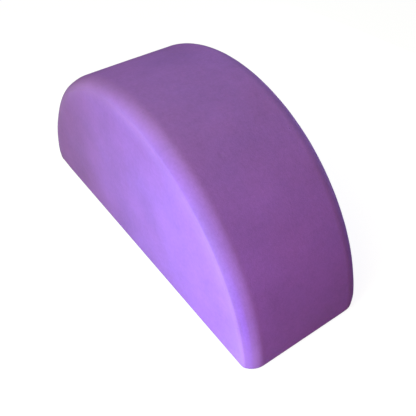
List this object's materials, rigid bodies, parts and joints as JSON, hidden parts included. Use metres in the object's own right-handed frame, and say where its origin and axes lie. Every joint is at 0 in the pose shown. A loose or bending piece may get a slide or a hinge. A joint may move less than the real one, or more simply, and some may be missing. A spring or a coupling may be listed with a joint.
{
  "type": "yoga block",
  "caption": "Half-round closed-cell foam yoga block with a flat base, a round arch and routed long edges that meet the flat side faces in a crease.",
  "frame": {"origin": "middle of the flat base, which is the bottom of the block's bounding box", "axes": "+Z from the base to the top of the arch; X along the base from foot to foot; Y from one D-shaped side face to the other, along the axis of the arch"},
  "size_m": [0.2298, 0.08, 0.106],
  "materials": {
    "purple_foam": "matte"
  },
  "bodies": {
    "root": {"foam_block": "purple_foam"}
  },
  "joints": []
}
